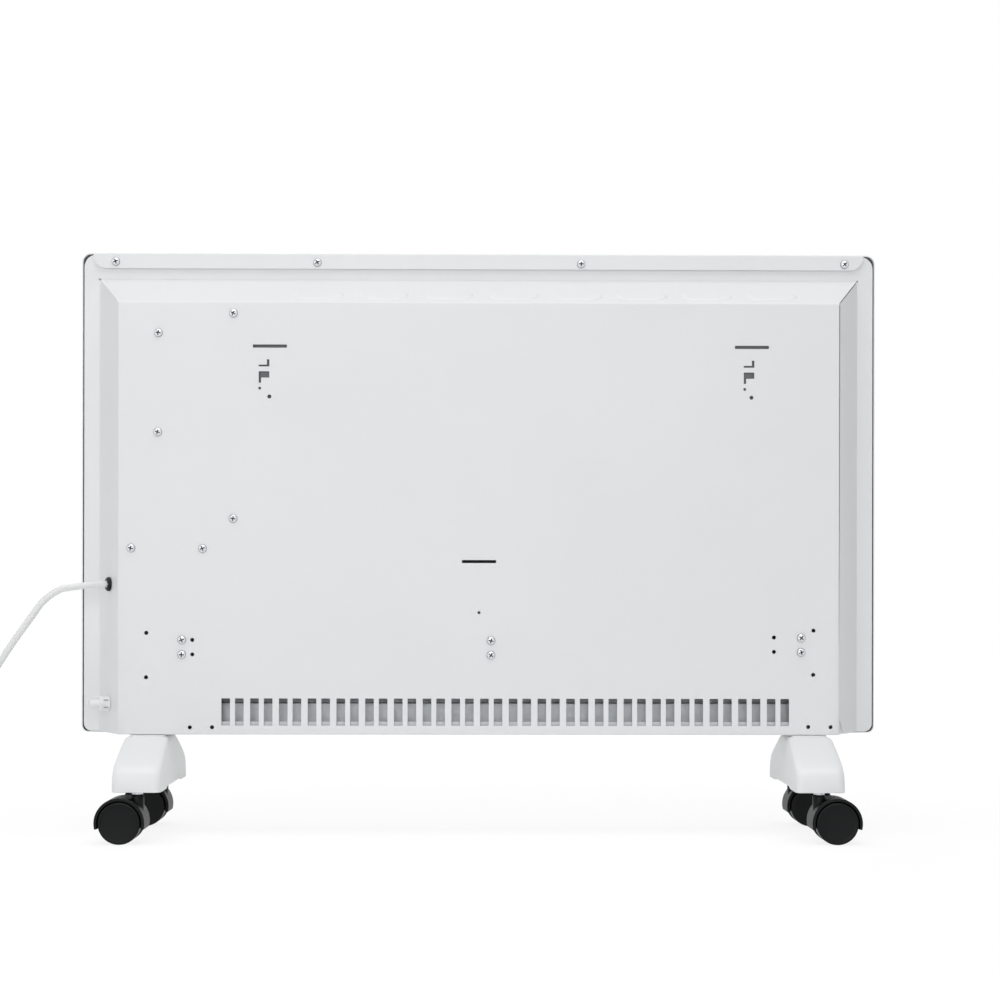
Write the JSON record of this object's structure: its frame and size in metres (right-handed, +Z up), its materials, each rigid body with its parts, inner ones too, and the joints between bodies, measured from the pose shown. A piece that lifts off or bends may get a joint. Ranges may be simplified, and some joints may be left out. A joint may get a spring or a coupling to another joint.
{
  "type": "panel convector heater",
  "caption": "Free-standing electric panel convector heater in white steel, with a bevelled rear casing, slotted air intake and moulded feet on twin-wheel castors.",
  "frame": {"origin": "on the floor under the middle of the two feet, at the bottom centre of the heater's bounding box without its cord", "axes": "+Z up, front panel faces -Y, rear casing (the side that faces a wall) faces +Y, +X to the right of someone in front of the heater"},
  "size_m": [1.0389, 0.303, 0.5808],
  "materials": {
    "white_enamel": "fine-textured white powder coat on steel sheet",
    "white_plastic": "satin moulded plastic",
    "cord_white": "satin PVC",
    "black_plastic": "satin black moulded plastic",
    "grey_plastic": "matte moulded plastic",
    "zinc_steel": "bright zinc plate",
    "aluminium": "extruded, satin",
    "ceramic": "unglazed ceramic",
    "circuit_board": "solder mask",
    "display_glass": "glossy smoked window",
    "plug_pin_brass": "nickel-plated brass"
  },
  "bodies": {
    "heater": {"front_panel": "white_enamel", "rear_casing": "white_enamel", "terminal_block": "white_plastic", "control_fascia": "white_plastic", "sensor_housing": "white_plastic", "foot_right": "white_plastic", "foot_left": "white_plastic", "cord_run": "cord_white", "cord_coil": "cord_white", "cord_tail": "cord_white", "plug_body": "cord_white", "thermal_cutout": "black_plastic", "tilt_switch": "black_plastic", "cord_bushing": "black_plastic", "sensor_probe": "black_plastic", "control_box": "grey_plastic", "element_bracket_right": "zinc_steel", "element_bracket_middle": "zinc_steel", "element_bracket_left": "zinc_steel", "hanger_pocket_right": "zinc_steel", "hanger_pocket_left": "zinc_steel", "intake_channel": "zinc_steel", "lip_screw_1": "zinc_steel", "lip_screw_2": "zinc_steel", "lip_screw_3": "zinc_steel", "lip_screw_4": "zinc_steel", "castor_rear_right_stem": "zinc_steel", "castor_front_right_stem": "zinc_steel", "castor_rear_left_stem": "zinc_steel", "castor_front_left_stem": "zinc_steel", "heating_element": "aluminium", "element_end_right": "ceramic", "element_end_left": "ceramic", "control_board": "circuit_board", "display_window": "display_glass", "plug_pin_1": "plug_pin_brass", "plug_pin_2": "plug_pin_brass"},
    "castor_rear_right": {"castor_rear_right_hood": "black_plastic", "castor_rear_right_axle": "zinc_steel"},
    "wheel_rear_right_front": {"castor_rear_right_wheel_front": "black_plastic"},
    "wheel_rear_right_rear": {"castor_rear_right_wheel_rear": "black_plastic"},
    "castor_front_right": {"castor_front_right_hood": "black_plastic", "castor_front_right_axle": "zinc_steel"},
    "wheel_front_right_front": {"castor_front_right_wheel_front": "black_plastic"},
    "wheel_front_right_rear": {"castor_front_right_wheel_rear": "black_plastic"},
    "castor_rear_left": {"castor_rear_left_hood": "black_plastic", "castor_rear_left_axle": "zinc_steel"},
    "wheel_rear_left_front": {"castor_rear_left_wheel_front": "black_plastic"},
    "wheel_rear_left_rear": {"castor_rear_left_wheel_rear": "black_plastic"},
    "castor_front_left": {"castor_front_left_hood": "black_plastic", "castor_front_left_axle": "zinc_steel"},
    "wheel_front_left_front": {"castor_front_left_wheel_front": "black_plastic"},
    "wheel_front_left_rear": {"castor_front_left_wheel_rear": "black_plastic"},
    "button_minus": {"button_minus": "grey_plastic"},
    "button_plus": {"button_plus": "grey_plastic"},
    "button_power": {"button_power": "grey_plastic"},
    "button_mode": {"button_mode": "grey_plastic"}
  },
  "joints": [
    {"name": "rear_right_swivel", "type": "hinge", "parent": "heater", "child": "castor_rear_right", "pos_m": [0.3255, 0.082, 0.046], "axis": [0, 0, 1], "continuous": true},
    {"name": "rear_right_wheel_front_spin", "type": "hinge", "parent": "castor_rear_right", "child": "wheel_rear_right_front", "pos_m": [0.3405, 0.082, 0.0202], "axis": [0, 1, 0], "continuous": true},
    {"name": "rear_right_wheel_rear_spin", "type": "hinge", "parent": "castor_rear_right", "child": "wheel_rear_right_rear", "pos_m": [0.3405, 0.082, 0.0202], "axis": [0, 1, 0], "continuous": true},
    {"name": "front_right_swivel", "type": "hinge", "parent": "heater", "child": "castor_front_right", "pos_m": [0.3255, -0.082, 0.046], "axis": [0, 0, 1], "continuous": true},
    {"name": "front_right_wheel_front_spin", "type": "hinge", "parent": "castor_front_right", "child": "wheel_front_right_front", "pos_m": [0.3405, -0.082, 0.0202], "axis": [0, 1, 0], "continuous": true},
    {"name": "front_right_wheel_rear_spin", "type": "hinge", "parent": "castor_front_right", "child": "wheel_front_right_rear", "pos_m": [0.3405, -0.082, 0.0202], "axis": [0, 1, 0], "continuous": true},
    {"name": "rear_left_swivel", "type": "hinge", "parent": "heater", "child": "castor_rear_left", "pos_m": [-0.3255, 0.082, 0.046], "axis": [0, 0, 1], "continuous": true},
    {"name": "rear_left_wheel_front_spin", "type": "hinge", "parent": "castor_rear_left", "child": "wheel_rear_left_front", "pos_m": [-0.3405, 0.082, 0.0202], "axis": [0, 1, 0], "continuous": true},
    {"name": "rear_left_wheel_rear_spin", "type": "hinge", "parent": "castor_rear_left", "child": "wheel_rear_left_rear", "pos_m": [-0.3405, 0.082, 0.0202], "axis": [0, 1, 0], "continuous": true},
    {"name": "front_left_swivel", "type": "hinge", "parent": "heater", "child": "castor_front_left", "pos_m": [-0.3255, -0.082, 0.046], "axis": [0, 0, 1], "continuous": true},
    {"name": "front_left_wheel_front_spin", "type": "hinge", "parent": "castor_front_left", "child": "wheel_front_left_front", "pos_m": [-0.3405, -0.082, 0.0202], "axis": [0, 1, 0], "continuous": true},
    {"name": "front_left_wheel_rear_spin", "type": "hinge", "parent": "castor_front_left", "child": "wheel_front_left_rear", "pos_m": [-0.3405, -0.082, 0.0202], "axis": [0, 1, 0], "continuous": true},
    {"name": "minus_press", "type": "slide", "parent": "heater", "child": "button_minus", "axis": [0, 1, 0], "range_m": [0, 0.0012], "stiffness_N_per_m": 500},
    {"name": "plus_press", "type": "slide", "parent": "heater", "child": "button_plus", "axis": [0, 1, 0], "range_m": [0, 0.0012], "stiffness_N_per_m": 500},
    {"name": "power_press", "type": "slide", "parent": "heater", "child": "button_power", "axis": [0, 1, 0], "range_m": [0, 0.0012], "stiffness_N_per_m": 500},
    {"name": "mode_press", "type": "slide", "parent": "heater", "child": "button_mode", "axis": [0, 1, 0], "range_m": [0, 0.0012], "stiffness_N_per_m": 500}
  ]
}
